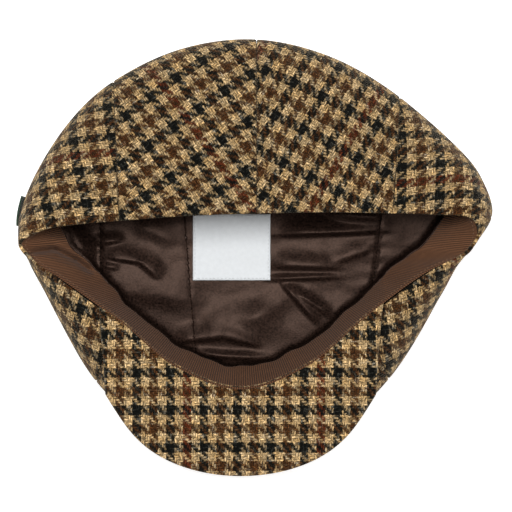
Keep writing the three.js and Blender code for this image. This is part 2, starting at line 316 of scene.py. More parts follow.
def column(name, mirrored=False):
    half = np.array([row[COLUMNS.index(name)] for row in SECTIONS], float)
    return np.concatenate([half, (-1 if mirrored else 1) * half[-2:0:-1]])


RIM_X = column("rimX", True)
NOTHING = np.zeros(ROUND)
RAILS = {
    "rim": np.stack([RIM_X, column("rimY"), column("bandZ") - column("tuck")], 1),
    "edge": np.stack([column("edgeX", True), column("edgeY"), column("edgeZ")], 1),
    "bandTop": np.stack([RIM_X, column("rimY"), column("bandZ")], 1),
    "bandFree": np.stack([column("bandX", True), column("bandY"), column("bandZ")], 1),
    "puff": np.stack([column("puff"), NOTHING, NOTHING], 1),
}
for rail, section, *move in NUDGES:
    RAILS[rail][section] += move


def on_rail(name, k):
    """A closed smooth line through one point of every section."""
    points = RAILS[name]
    whole = np.floor(k).astype(int)
    t = (k - whole)[..., None]
    p0, p1, p2, p3 = (points[(whole + step) % ROUND] for step in (-1, 0, 1, 2))

    def apart(a, b, least):
        d = np.sqrt(np.linalg.norm(b - a, axis=-1, keepdims=True))
        return np.where(d < TINY, least, d)

    d1 = apart(p1, p2, 1.0)
    d0 = apart(p0, p1, d1)
    d2 = apart(p2, p3, d1)
    m1 = d1 * ((p1 - p0) / d0 - (p2 - p0) / (d0 + d1) + (p2 - p1) / d1)
    m2 = d1 * ((p2 - p1) / d1 - (p3 - p1) / (d1 + d2) + (p3 - p2) / d2)
    return p1 + m1 * t + (3 * (p2 - p1) - 2 * m1 - m2) * t**2 + (2 * (p1 - p2) + m1 + m2) * t**3


def ease(value, low, high):
    t = np.clip((value - low) / (high - low), 0, 1)
    return t * t * (3 - 2 * t)


def unit(v):
    return v / np.maximum(np.linalg.norm(v, axis=-1, keepdims=True), TINY)


def askew(p):
    """Moves points of the straight cap to where the askew cap has them."""
    p = p.copy()
    x, y = p[..., 0].copy(), p[..., 1].copy()
    across = x / HALF_SPAN
    toward_peak = 1 - ease(y, *DRIFT_SPAN)
    near_sides = 1 - ease(np.abs(y - SIDE_LINE), 0, SIDE_REACH)
    near_back = ease(y, *BACK_FALL_SPAN)
    held = 1 - SIDE_HOLD * near_sides * np.abs(across)
    p[..., 0] += held * (BACK_DRIFT + (PEAK_DRIFT - BACK_DRIFT) * toward_peak)
    p[..., 1] += across * (SIDE_RISE * near_sides - BACK_FALL * near_back)
    return p


def at_height(p, z):
    p = p.copy()
    p[..., 2] = z
    return p


def bezier(a, b, c, d, t):
    t = t[..., None]
    u = 1 - t
    return u**3 * a + 3 * u * u * t * b + 3 * u * t * t * c + t**3 * d


def crown(k, s):
    """Outside of the crown: s runs to 1 down the wall, to 2 round the fold, to 3 along the floor."""
    k, s = np.broadcast_arrays(np.asarray(k, float), np.asarray(s, float))
    rim, edge = on_rail("rim", k), on_rail("edge", k)
    puff = on_rail("puff", k)[..., 0]
    inward = unit((CROWN_TOP - edge) * FLAT)
    floor = at_height(edge + inward * FOLD_INWARD, 0)
    shoulder = rim[..., 2] + (edge[..., 2] - rim[..., 2]) * SHOULDER_SLUMP * (1 - puff)
    leave = at_height(rim + (edge - rim) * SHOULDER_ALONG, shoulder)
    arrive = at_height(edge, edge[..., 2] + (rim[..., 2] - edge[..., 2]) * puff)
    wall = bezier(rim, leave, arrive, edge, np.clip(s, 0, 1))
    down = at_height(edge, edge[..., 2] * FOLD_DROP)
    under = floor - inward * FOLD_INWARD * FOLD_RUN
    fold = bezier(edge, down, under, floor, np.clip(s - 1, 0, 1))
    flat = floor + (CROWN_TOP - floor) * np.clip(s - 2, 0, 1)[..., None]
    stretch = s[..., None]
    return askew(np.where(stretch <= 1, wall, np.where(stretch <= 2, fold, flat)))


def outward(surface, a, b, step_a, step_b):
    """The way a surface faces, from a small step each way."""
    across = surface(a + step_a, b) - surface(a - step_a, b)
    along = surface(a, b + step_b) - surface(a, b - step_b)
    return unit(np.cross(across, along))


def crown_out(k, s):
    return outward(crown, k, np.clip(s, STEP_DOWN, SLOPE_END), STEP_ROUND, STEP_DOWN)


def inside(share):
    """Keeps a share of a sheet a step away from its edges."""
    return np.clip(share, STEP_SHARE, 1 - STEP_SHARE)


def run(points, axis):
    """Length along a grid of points from its first one, the way of the axis."""
    steps = np.linalg.norm(np.diff(points, axis=axis), axis=-1)
    start = np.zeros_like(np.take(steps, [0], axis))
    return np.concatenate([start, np.cumsum(steps, axis)], axis)


def edge_distance(points, sides):
    """Distance of each point of a grid to the nearest of the named sides of the grid."""
    across, along = run(points, 0), run(points, 1)
    found = {
        "first": across,
        "last": across[-1:] - across,
        "near": along,
        "far": along[:, -1:] - along,
    }
    return np.minimum.reduce([found[s] for s in sides])


def spaced(count, ends):
    """Places from 0 to 1, closer together at both ends."""
    ends = np.array(ends)
    inner = np.linspace(ends[-1], 1 - ends[-1], count)[1:-1]
    return np.concatenate([[0], ends, inner, 1 - ends[::-1], [1]])


def grid(first, second):
    return np.meshgrid(spaced(*first), spaced(*second), indexing="ij")


def new_object(name, points, faces):
    """An object from points in millimetres and faces by their points' numbers."""
    mesh = bpy.data.meshes.new(name)
    mesh.from_pydata((points * MM).tolist(), [], faces)
    mesh.shade_smooth()
    mesh.update()
    obj = bpy.data.objects.new(name, mesh)
    bpy.context.collection.objects.link(obj)
    return obj


def sheet_faces(shut, wrap):
    """Triangles over both faces of a sheet. The faces share their points where the sheet is shut."""
    n_i, n_j = shut.shape
    top = np.arange(shut.size).reshape(shut.shape)
    bottom = np.where(shut, top, top + shut.size)
    here = np.arange(n_i if wrap else n_i - 1)
    after = (here + 1) % n_i

    # Every corner of the sheet has a diagonal running into it, so that no triangle there is shut
    rising = (2 * here < n_i - 2)[:, None] == (2 * np.arange(n_j - 1) < n_j - 2)

    def halves(ids):
        a, b = ids[here][:, :-1], ids[after][:, :-1]
        c, d = ids[after][:, 1:], ids[here][:, 1:]
        one = np.stack([a, b, np.where(rising, c, d)], -1)
        two = np.stack([np.where(rising, a, b), c, d], -1)
        return np.concatenate([one.reshape(-1, 3), two.reshape(-1, 3)])

    return np.concatenate([halves(top), halves(bottom)[:, ::-1]])


def cloth(name, face, out, thick, sides, weave, tone=1.0, wrap=False):
    """A sheet with rounded sides: face is a grid of points on its outside, weave their thread numbers."""
    reach = np.clip(1 - edge_distance(face, sides) / (EDGE_ROUND * thick), 0, 1)
    half = (thick / 2 * np.sqrt(1 - reach**2))[..., None]
    middle = face - out * thick / 2
    points = np.concatenate([(middle + out * half).reshape(-1, 3), (middle - out * half).reshape(-1, 3)])
    faces = sheet_faces(half[..., 0] < TINY, wrap)
    used, index = np.unique(faces, return_inverse=True)
    obj = new_object(name, points[used], index.reshape(faces.shape).tolist())
    a, b = (np.tile(threads.ravel(), 2) for threads in weave)
    # The third value is the piece's painted light or shade, which only the tweed reads
    values = np.stack([a, b, np.full(len(a), tone)], 1)[used]
    layer = obj.data.attributes.new("weave", "FLOAT_VECTOR", "POINT")
    layer.data.foreach_set("vector", values.astype(np.float32).ravel())
    return obj


def triangles_of(shape):
    ids = np.arange(shape[0] * shape[1]).reshape(shape)
    a, b, c, d = ids[:-1, :-1], ids[1:, :-1], ids[1:, 1:], ids[:-1, 1:]
    one = np.stack([a, b, c], -1).reshape(-1, 3)
    two = np.stack([a, c, d], -1).reshape(-1, 3)
    return np.concatenate([one, two])


def lone_triangles(points, triangles):
    """Every triangle laid flat by itself, as three points in its own plane."""
    start, one, two = points[triangles].transpose(1, 0, 2)
    side, other = one - start, two - start
    long = np.linalg.norm(side, axis=1)
    ahead = side / long[:, None]
    x = (other * ahead).sum(1)
    y = np.linalg.norm(other - x[:, None] * ahead, axis=1)
    zero = np.zeros_like(long)
    return np.stack([np.stack([zero, zero], 1), np.stack([long, zero], 1), np.stack([x, y], 1)], 1)


def triangle_sides(lone, weight):
    """For the three sides of every triangle: both ends, how stiff it is and how it runs on the flat."""
    sides = []
    for i in range(3):
        j, o = (i + 1) % 3, (i + 2) % 3
        to_i, to_j = lone[:, i] - lone[:, o], lone[:, j] - lone[:, o]
        turn = np.abs(to_i[:, 0] * to_j[:, 1] - to_i[:, 1] * to_j[:, 0])
        stiff = weight * np.clip((to_i * to_j).sum(1) / np.maximum(turn, TINY), *STIFF_LIMITS)
        sides.append((i, j, stiff, lone[:, i] - lone[:, j]))
    return sides


def stiffness(count, triangles, sides):
    total = np.zeros((count, count))
    for i, j, stiff, _ in sides:
        one, two = triangles[:, i], triangles[:, j]
        np.add.at(total, (one, one), stiff)
        np.add.at(total, (two, two), stiff)
        np.add.at(total, (one, two), -stiff)
        np.add.at(total, (two, one), -stiff)
    return total


def pull(layout, triangles, sides):
    """What the triangles ask of a layout's points when each is turned to fit the layout best."""
    spin = np.zeros((len(triangles), 2, 2))
    for i, j, stiff, flat in sides:
        laid = layout[triangles[:, i]] - layout[triangles[:, j]]
        spin += stiff[:, None, None] * laid[:, :, None] * flat[:, None, :]
    angle = np.arctan2(spin[:, 1, 0] - spin[:, 0, 1], spin[:, 0, 0] + spin[:, 1, 1])
    cos, sin = np.cos(angle), np.sin(angle)
    total = np.zeros_like(layout)
    for i, j, stiff, flat in sides:
        x, y = flat.T
        turned = stiff[:, None] * np.stack([cos * x - sin * y, sin * x + cos * y], 1)
        np.add.at(total, triangles[:, i], turned)
        np.add.at(total, triangles[:, j], -turned)
    return total


def flatten(points, start, weight):
    """Lays a grid of points out flat with as little stretch as can be, beginning from a rough layout."""
    triangles = triangles_of(points.shape[:2])
    places, layout = points.reshape(-1, 3), start.reshape(-1, 2)
    sides = triangle_sides(lone_triangles(places, triangles), weight.ravel()[triangles].mean(1))
    stiff = stiffness(len(places), triangles, sides)
    hold = TINY * stiff.max()
    solve = np.linalg.inv(stiff + np.eye(len(places)) * hold)
    for _ in range(FLATTEN_ROUNDS):
        layout = solve @ (pull(layout, triangles, sides) + layout * hold)
    return layout.reshape(start.shape)


def cut_size(flat):
    """Width, length and area of a flat layout, in metres and square metres."""
    places = flat.reshape(-1, 2)
    size = np.ptp(places, axis=0) * MM
    one, two, three = places[triangles_of(flat.shape[:2])].transpose(1, 2, 0)
    u, v = two - one, three - one
    area = np.abs(u[0] * v[1] - u[1] * v[0]).sum() / 2 * MM**2
    return tuple(round(float(side), 4) for side in size), round(float(area), 6)


def pixel_place(pixel):
    """A pixel of the photograph as a place in the cap's plan, in millimetres."""
    return np.array([pixel[0] - ORIGIN_PIXEL[0], ORIGIN_PIXEL[1] - pixel[1]]) * MM_PER_PIXEL


def panel_grid(span, shares, rows):
    """Section numbers and places down the crown for a panel, with half a seam left free at both sides."""
    ends = []
    for k, way in ((span[0], 1), (span[1], -1)):
        reach = np.linalg.norm(crown(k + STEP_ROUND, rows) - crown(k - STEP_ROUND, rows), axis=-1)
        ends.append(k + way * SEAM * STEP_ROUND / np.maximum(reach, TINY))
    k = ends[0] + (ends[1] - ends[0]) * shares[:, None]
    return k, np.broadcast_to(rows, k.shape)


def laid_flat(span):
    """A panel's coarse points and where they lie on the flat cloth."""
    k, s = panel_grid(span, FLAT_SHARES, FLAT_ROWS)
    points = crown(k, s)
    across, down = run(points, 0), run(points, 1)
    start = np.stack([across - across[-1:] / 2, -down], -1)
    weight = np.where(s < SHOWN_TO, 1.0, HIDDEN_WEIGHT)
    return points, flatten(points, start, weight)


def threads_at(teeth):
    """Thread numbers both ways, for places counted in teeth from the middle of a dark one."""
    threads = (teeth + TOOTH_MIDDLE) * TOOTH_THREADS
    return threads[..., 0], threads[..., 1]


def panel_threads(points, flat, panel):
    """Thread numbers over a panel: its flat layout, turned so that the check runs as photographed."""
    home = pixel_place(panel["home"])
    away = np.linalg.norm(points[..., :2] - home, axis=-1)
    away = away + FIT_PUT_OFF * np.maximum(FIT_LEVEL - points[..., 2], 0)
    near = np.argsort(away.ravel())[:FIT_POINTS]
    basis = np.concatenate([points.reshape(-1, 3)[near, :2] - home, np.ones((len(near), 1))], 1)
    fit = np.linalg.lstsq(basis, flat.reshape(-1, 2)[near], rcond=None)[0]
    steps = np.array([panel["across"], panel["along"]]) * MM_PER_PIXEL @ fit[:2]
    return threads_at((flat - fit[2]) @ np.linalg.inv(steps) + panel["tooth"])


def between(values, shares, rows):
    """A coarse grid of values read at finer places."""
    down = np.stack([np.interp(rows, FLAT_ROWS, line) for line in values])
    return np.stack([np.interp(shares, FLAT_SHARES, line) for line in down.T], 1)


def crown_panel(name, panel):
    """One panel of the crown, with the size of its flat cloth."""
    points, flat = laid_flat(panel["span"])
    shares = spaced(*PANEL_ACROSS)
    weave = [between(threads, shares, PANEL_ROWS) for threads in panel_threads(points, flat, panel)]
    k, s = panel_grid(panel["span"], shares, PANEL_ROWS)
    obj = cloth(name, crown(k, s), crown_out(k, s), WALL, ALL_SIDES, weave, CROWN_PAINTED_SHADE)
    return obj, *cut_size(flat)


def peak_face(q, r):
    """The peak's upper face here: q runs from its left end to its right, r from the band to its front."""
    q, r = np.broadcast_arrays(np.asarray(q, float), np.asarray(r, float))
    k = HALF - PEAK_ENDS * q
    rear = on_rail("bandTop", k)
    to_band = unit((on_rail("bandFree", k) - rear) * FLAT)
    rear = rear + to_band * PEAK_TUCK
    turn = q * PEAK_SWEEP
    slim = PEAK_SLIM * np.sin(math.pi * np.abs(q) ** 3) * np.sign(q)
    x = PEAK_HALF * np.sin(turn) - slim
    y = PEAK_TIP[1] + PEAK_FRONT * (1 - np.cos(turn))
    front = np.stack([x, y, PEAK_TIP[2] + x**2 / (2 * PEAK_BEND)], -1)
    return askew(rear + (front - rear) * r[..., None])


def peak():
    i, r = grid(*PEAK_GRID)
    q = 2 * i - 1
    face = peak_face(q, r)[:, ::-1]
    held = np.clip(q, STEP_SHARE - 1, 1 - STEP_SHARE)
    up = -outward(peak_face, held, inside(r), STEP_SHARE, STEP_SHARE)[:, ::-1]
    teeth = (face[..., :2] - pixel_place(PEAK_HOME)) / (np.array(PEAK_TOOTH) * MM_PER_PIXEL)
    return cloth("tweed_peak", face, up, PEAK_THICK, ALL_SIDES, threads_at(teeth), PEAK_PAINTED_LIGHT)


def relief(x, y, folds):
    """Height of folds, each given by its middle, turn, length, height and the widths of its two flanks."""
    height = np.zeros_like(x)
    for fx, fy, turn, length, high, ahead, behind in folds:
        c, s = math.cos(math.radians(turn)), math.sin(math.radians(turn))
        along = (x - fx) * c + (y - fy) * s
        aside = (y - fy) * c - (x - fx) * s
        width = np.where(aside > 0, ahead, behind)
        height += high * np.exp(-((2 * along / length) ** 4)) * np.exp(-((aside / width) ** 2))
    return height


def ripples(x, y, size, lengths, waves, seed):
    """Gentle unevenness: a few waves of random direction and length, the same on every run."""
    draw = np.random.default_rng(seed)
    total = np.zeros_like(x)
    for _ in range(waves):
        turn, phase = draw.uniform(0, math.pi), draw.uniform(0, 2 * math.pi)
        rate = 2 * math.pi / draw.uniform(*lengths)
        total += np.sin((x * math.cos(turn) + y * math.sin(turn)) * rate + phase)
    return total * size / math.sqrt(waves)


def band_face(k, w):
    """Middle of the sweatband's ribbon: w runs from the rim to its free edge."""
    k, w = np.broadcast_arrays(np.asarray(k, float), np.asarray(w, float))
    top = on_rail("bandTop", k)
    to_free = (on_rail("bandFree", k) - top) * FLAT
    reach = np.linalg.norm(to_free, axis=-1)
    spare = BAND_LIMIT - (reach - BAND_SEAT)
    run_in = BAND_LIMIT - (spare + np.hypot(spare, BAND_EASE)) / 2
    drop = np.sqrt(BAND_WIDTH**2 - run_in**2)
    for size, length, phase in BAND_WAVES:
        run_in = run_in + w * size * np.sin(2 * math.pi * top[..., 0] / length + phase)
    p = top + unit(to_free) * (BAND_SEAT + run_in * w)[..., None]
    p[..., 2] -= drop * w
    p = askew(p)
    p[..., 2] += relief(p[..., 0], p[..., 1], BAND_CREASES)
    return p


def sweatband():
    """The ribbon ring, and the row of stitches along its sewn edge."""
    k = np.linspace(0, ROUND, BAND_ROUND, endpoint=False)
    k, w = np.meshgrid(k, spaced(*BAND_ACROSS), indexing="ij")
    face = band_face(k, w)
    out = outward(band_face, k, inside(w), STEP_ROUND, STEP_SHARE)
    middle = face.shape[1] // 2
    long = run(face, 0)[:, middle:middle + 1]
    weave = (np.broadcast_to(long, k.shape), w * BAND_WIDTH)
    obj = cloth("ribbon_sweatband", face + out * BAND / 2, out, BAND, ("near", "far"), weave, wrap=True)
    return obj, band_stitches()


def band_stitches():
    k = np.arange(ROUND * SECTION_STITCH_POINTS) / SECTION_STITCH_POINTS
    w = np.full(len(k), BAND_STITCH["place"])
    up = -outward(band_face, k, w, STEP_ROUND, STEP_SHARE)
    return stitches("stitch_sweatband", band_face(k, w) + up * BAND / 2, up, BAND_STITCH)


def stitches(name, line, up, size):
    """Short raised stitches along a line of points, sunk into the cloth at both of their ends."""
    far = run(line[:, None], 0)[:, 0]

    def read(values, at):
        return np.stack([np.interp(at, far, values[:, n]) for n in range(3)], -1)

    points, faces = [], []
    for middle in np.arange(size["pitch"], far[-1] - size["pitch"] / 2, size["pitch"]):
        faces += stitch_faces(len(points))
        ahead = unit(read(line, middle + STITCH_AHEAD) - read(line, middle - STITCH_AHEAD))
        over = unit(read(up, middle))
        aside = np.cross(over, ahead)
        for along, girth, lift in STITCH_RINGS:
            centre = read(line, middle + along * size["length"]) + over * lift * size["radius"]
            for side in range(STITCH_SIDES):
                turn = 2 * math.pi * side / STITCH_SIDES
                spoke = aside * math.cos(turn) + over * math.sin(turn)
                points.append(centre + size["radius"] * girth * spoke)
    return new_object(name, np.array(points), faces)


def stitch_faces(first):
    """Faces of one stitch, with its points numbered from the first: its rings, then both ends."""
    sides = range(STITCH_SIDES)
    last = first + (len(STITCH_RINGS) - 1) * STITCH_SIDES
    faces = []
    for here in range(first, last, STITCH_SIDES):
        there = here + STITCH_SIDES
        for side in sides:
            after = (side + 1) % STITCH_SIDES
            faces.append([here + side, here + after, there + after, there + side])
    faces.append([first + side for side in reversed(sides)])
    faces.append([last + side for side in sides])
    return faces


def off_band(x, y):
    """Distance in plan from the sweatband's free edge."""
    edge = band_face(np.linspace(0, ROUND, BAND_EDGE_POINTS, endpoint=False), 1.0) * FLAT
    tree = KDTree(len(edge))
    for number, point in enumerate(edge):
        tree.insert(point, number)
    tree.balance()
    plan = np.stack([x, y, np.zeros_like(x)], -1).reshape(-1, 3)
    return np.array([tree.find(point)[2] for point in plan]).reshape(x.shape)


def lining_lift(x, y):
    """How far the satin stands off the crown's floor, seams pinched and the rest in folds."""
    lift = LOFT + relief(x, y, LINING_FOLDS) + ripples(x, y, **LINING_RIPPLE)
    off = off_band(x, y)
    lift += MOAT["cushion"] * (1 - np.exp(-((off / MOAT["reach"]) ** 2)))
    lift -= MOAT["deep"] * np.exp(-((off / MOAT["wide"]) ** 2))
    for at, lean, deep in LINING_SEAMS:
        aside = np.abs(x - at - lean * y)
        puckers = np.sin(2 * math.pi * y / PINCH["every"] + at) * np.exp(-aside / PINCH["reach"])
        lift += deep * (PINCH["pucker"] * puckers - np.exp(-((aside / PINCH["wide"]) ** 2)))
    return np.maximum(lift, LEAST_LIFT)


def lining_place(k, s):
    p = crown(k, s)
    lift = ease(s, *LOFT_SPAN) * lining_lift(p[..., 0], p[..., 1])
    p = p - crown_out(k, s) * (WALL + GAP + LINING)
    p[..., 2] += lift
    return p


def lining_bag():
    """The satin as one bag in metres, shut at the crown's middle."""
    k = np.linspace(0, ROUND, LINING_ROUND, endpoint=False)
    k, s = np.meshgrid(k, LINING_ROWS, indexing="ij")
    face = lining_place(k, s)
    tip = face[:, -1].mean(0)
    points = np.concatenate([face.reshape(-1, 3), [tip]]) * MM
    ids = np.arange(k.size).reshape(k.shape)
    after = np.roll(ids, -1, 0)
    quads = np.stack([ids[:, :-1], ids[:, 1:], after[:, 1:], after[:, :-1]], -1).reshape(-1, 4)
    fan = np.stack([ids[:, -1], np.full(len(ids), k.size), after[:, -1]], -1)
    bag = bpy.data.meshes.new("bag")
    bag.from_pydata(points.tolist(), [], quads.tolist() + fan.tolist())
    return bag


def cut_off(part, seam, way):
    """Cuts away what lies beyond a seam, with half of the seam's gap."""
    x, lean, _ = seam
    geom = part.verts[:] + part.edges[:] + part.faces[:]
    place = ((x - way * SEAM / 2) * MM, 0, 0)
    facing = (way, -way * lean, 0)
    bmesh.ops.bisect_plane(
        part, geom=geom, dist=CUT_SNAP, plane_co=place, plane_no=facing, clear_outer=True
    )


def lining():
    """The satin bag cut at its seams, as one object for each piece."""
    bag = lining_bag()
    limits = ((-BEYOND, 0.0, 0.0), *LINING_SEAMS, (BEYOND, 0.0, 0.0))
    made = []
    for node, low, high in zip(LINING_CUTS, limits, limits[1:]):
        part = bmesh.new()
        part.from_mesh(bag)
        cut_off(part, low, -1)
        cut_off(part, high, 1)
        made.append(thick_object("satin_" + node, part, LINING))
        part.free()
    bpy.data.meshes.remove(bag)
    return made


def thick_object(name, sheet, thick):
    """An open sheet given a thickness away from its face."""
    sheet.verts.index_update()
    sheet.normal_update()
    points = np.array([v.co[:] for v in sheet.verts]) / MM
    normals = np.array([v.normal[:] for v in sheet.verts])
    count = len(points)
    faces = [[v.index for v in f.verts] for f in sheet.faces]
    under = [[i + count for i in reversed(f)] for f in faces]
    rims = []
    for edge in sheet.edges:
        if edge.is_boundary:
            loop = edge.link_loops[0]
            i, j = loop.vert.index, loop.link_loop_next.vert.index
            rims.append([j, i, i + count, j + count])
    return new_object(name, np.concatenate([points, points - normals * thick]), faces + under + rims)


def on_label(x, y):
    """The label's face over places in plan, and the way it faces."""
    level = WALL + GAP + LINING + GAP + LABEL_THICK
    face = np.stack([x, y, level + lining_lift(x, y)], -1)
    return face, np.broadcast_to(UP, face.shape)


def label():
    """The label, and the row of stitches inside its edge."""
    i, j = grid(*LABEL_GRID)
    x = LABEL["x"] + LABEL["wide"] * (i - 0.5)
    y = LABEL["y"] + LABEL["deep"] * (j - 0.5)
    face, up = on_label(x, y)
    obj = cloth("woven_label", face, up, LABEL_THICK, ALL_SIDES, (x, y))
    return obj, label_stitches()


def label_stitches():
    half = np.array([LABEL["wide"], LABEL["deep"]]) / 2 - LABEL_STITCH["inset"]
    corners = np.array([(-1, -1), (1, -1), (1, 1), (-1, 1), (-1, -1)]) * half
    walk = np.linspace(0, 4, 4 * LABEL_SIDE_POINTS + 1)
    x = LABEL["x"] + np.interp(walk, range(5), corners[:, 0])
    y = LABEL["y"] + np.interp(walk, range(5), corners[:, 1])
    return stitches("stitch_label", *on_label(x, y), LABEL_STITCH)


def side_tab():
    i, j = grid(*TAB_GRID)
    k = TAB["start"] + (TAB["end"] - TAB["start"]) * i
    widest = np.ones_like(k)
    out = unit(crown_out(k, widest) * FLAT)
    off = GAP + TAB_THICK + TAB["flare"] * i * (1 - 2 * j)
    face = crown(k, widest) + out * off[..., None]
    face[..., 2] += TAB["high"] * (0.5 - j)
    weave = (run(face, 0), run(face, 1))
    return cloth("woven_side_tab", face, out, TAB_THICK, ALL_SIDES, weave)


def seen(r, g, b):
    """A colour as the eye sees it, from 0 to 1."""
    return (r / 255, g / 255, b / 255, 1.0)


def srgb(r, g, b):
    """A colour as the shader takes it."""
    def line(v):
        v /= 255
        return v / 12.92 if v <= 0.04045 else ((v + 0.055) / 1.055) ** 2.4

    return (line(r), line(g), line(b), 1.0)


def darker(colour, share):
    return tuple(c * share for c in colour[:3]) + (1.0,)


# Colours of the wool, which are mixed as the eye sees them
BLACK = seen(17, 18, 16)
BROWN = seen(78, 49, 26)
RUST = seen(93, 43, 23)
TAN = seen(207, 176, 130)
GOLD = seen(199, 160, 106)
CREAM = seen(232, 224, 206)
EYE_GAMMA = 2.2

# Colours of the rest
SATIN = (srgb(27, 18, 15), srgb(37, 26, 21))
SATIN_GLOSS = (1.0, 0.66, 0.52, 1.0)
RIBBON = (srgb(92, 60, 39), srgb(110, 74, 50))
RIBBON_THREAD = srgb(118, 89, 67)
LABEL_CLOTH = srgb(218, 221, 223)
LABEL_THREAD = srgb(214, 218, 220)
TAB_CLOTH = srgb(30, 60, 40)
WOOL_SHEEN = (1.0, 0.84, 0.6, 1.0)
FLOOR_GREY = (0.94, 0.94, 0.94, 1.0)
WHITE = (1.0, 1.0, 1.0, 1.0)

# Streaks in the wool: how fast each changes along both thread numbers, and where in the noise it is read
STREAKS = {
    "wander a": (0.12, 0.12, 3.0),
    "wander b": (0.12, 0.12, 23.0),
    "hairs a": (0.3, 0.9, 11.0),
    "hairs b": (0.9, 0.3, 37.0),
    "patches": (0.16, 0.16, 43.0),
    "below": (0.7, 0.7, 61.0),
    "pale a": (1.1, 0.3, 91.0),
    "pale b": (0.3, 1.1, 97.0),
    "fibre warp": (1.2, 0.3, 53.0),
    "fibre weft": (0.3, 1.2, 71.0),
}

# How far threads wander and hairs reach, in threads, and how much of the thread below shows
WANDER = 0.5
HAIR_REACH = 0.6
SHOW_THROUGH = 0.3

# Pale hairs: which part of a streak they take up, and how strong they are, more where dark and light cross
PALE_SPREAD = (0.55, 0.74)
PALE_CROSSED = 0.35
PALE_LEAST = 0.3

# Shade of the wool: painted shade in the hollows as a thread's height falls, how it changes with its fibre
# and a crossing, and from what value
HOLLOW_PAINTED_SHADE = (0.4, 0.6)
FIBRE_SHADE = (0.84, 0.48)
CROSSED_SHADE = (-0.13, 1.0)
FLOAT_RISE = (0.6, 0.4)
FIBRE_RISE = 0.8

# Threads of the ribbon, label and tab in millimetres
RIB_PITCH = 1.25
LABEL_PITCH = 0.5
TAB_PITCH = 0.6

# Noise to the metre on satin and sewing thread, and to the millimetre on ribbon and woven cloth
SATIN_CLOUDS = 60.0
SATIN_GRAIN = 900.0
SATIN_UNEVEN = 90.0
THREAD_CLOUDS = 900.0
THREAD_FIBRES = 2500.0
RIBBON_CLOUDS = 0.12
CLOTH_CLOUDS = 0.4

# Shade over the satin's grain, painted shade in the grooves between a ribbon's ribs, and how dark woven
# cloth and sewing thread get
GRAIN_SHADE = (4.4, -1.2)
GRAIN_RISE = 0.1
RIB_PAINTED_SHADE = (-1.6, 0.6)
CLOTH_DARK = 0.85
THREAD_DARK = 0.6


class Graph:
    """Short ways to add nodes to a material and join them."""

    def __init__(self, name):
        self.material = bpy.data.materials.new(name)
        self.material.use_nodes = True
        self.tree = self.material.node_tree
        self.shader = self.tree.nodes["Principled BSDF"]

    def add(self, kind, inputs=(), **settings):
        node = self.tree.nodes.new("ShaderNode" + kind)
        for key, value in settings.items():
            setattr(node, key, value)
        for key, value in dict(inputs).items():
            self.join(value, node.inputs[key])
        return node

    def join(self, value, socket):
        if isinstance(value, bpy.types.NodeSocket):
            self.tree.links.new(value, socket)
        else:
            socket.default_value = value

    def math(self, operation, *values):
        node = self.add("Math", operation=operation)
        for value, socket in zip(values, node.inputs):
            self.join(value, socket)
        return node.outputs[0]

    def product(self, *values):
        return self.math("MULTIPLY", *values)

    def sum(self, *values):
        return self.math("ADD", *values)

    def scaled(self, value, by, plus):
        return self.math("MULTIPLY_ADD", value, by, plus)

    def wave(self, value, length):
        return self.math("SINE", self.product(value, 2 * math.pi / length))

    def mix(self, share, a, b, blend="MIX"):
        node = self.add("Mix", data_type="RGBA", blend_type=blend)
        for value, key in ((share, 0), (a, 6), (b, 7)):
            self.join(value, node.inputs[key])
        return node.outputs[2]

    def either(self, share, a, b):
        return self.add("Mix", {0: share, 2: a, 3: b}).outputs[0]

    def shaded(self, colour, shade):
        grey = self.add("CombineColor", {"Red": shade, "Green": shade, "Blue": shade}).outputs[0]
        return self.mix(1.0, colour, grey, "MULTIPLY")

    def noise(self, vector, scale, detail=2.0, roughness=0.5):
        inputs = {"Vector": vector, "Scale": scale, "Detail": detail, "Roughness": roughness}
        return self.add("TexNoise", inputs).outputs["Fac"]

    def place(self):
        return self.add("TexCoord").outputs["Object"]

    def vector(self, x, y):
        return self.add("CombineXYZ", {"X": x, "Y": y}).outputs[0]

    def ramp(self, value, low, high):
        return self.add("MapRange", {"Value": value, "From Min": low, "From Max": high}).outputs[0]

    def attribute(self, name):
        node = self.add("Attribute", attribute_name=name)
        parts = self.add("SeparateXYZ", {"Vector": node.outputs["Vector"]})
        return parts.outputs["X"], parts.outputs["Y"], parts.outputs["Z"]

    def bump(self, height, strength, distance):
        node = self.add("Bump", {"Height": height, "Strength": strength, "Distance": distance})
        self.join(node.outputs["Normal"], self.shader.inputs["Normal"])

    def set(self, **values):
        for key, value in values.items():
            self.join(value, self.shader.inputs[key.replace("_", " ")])


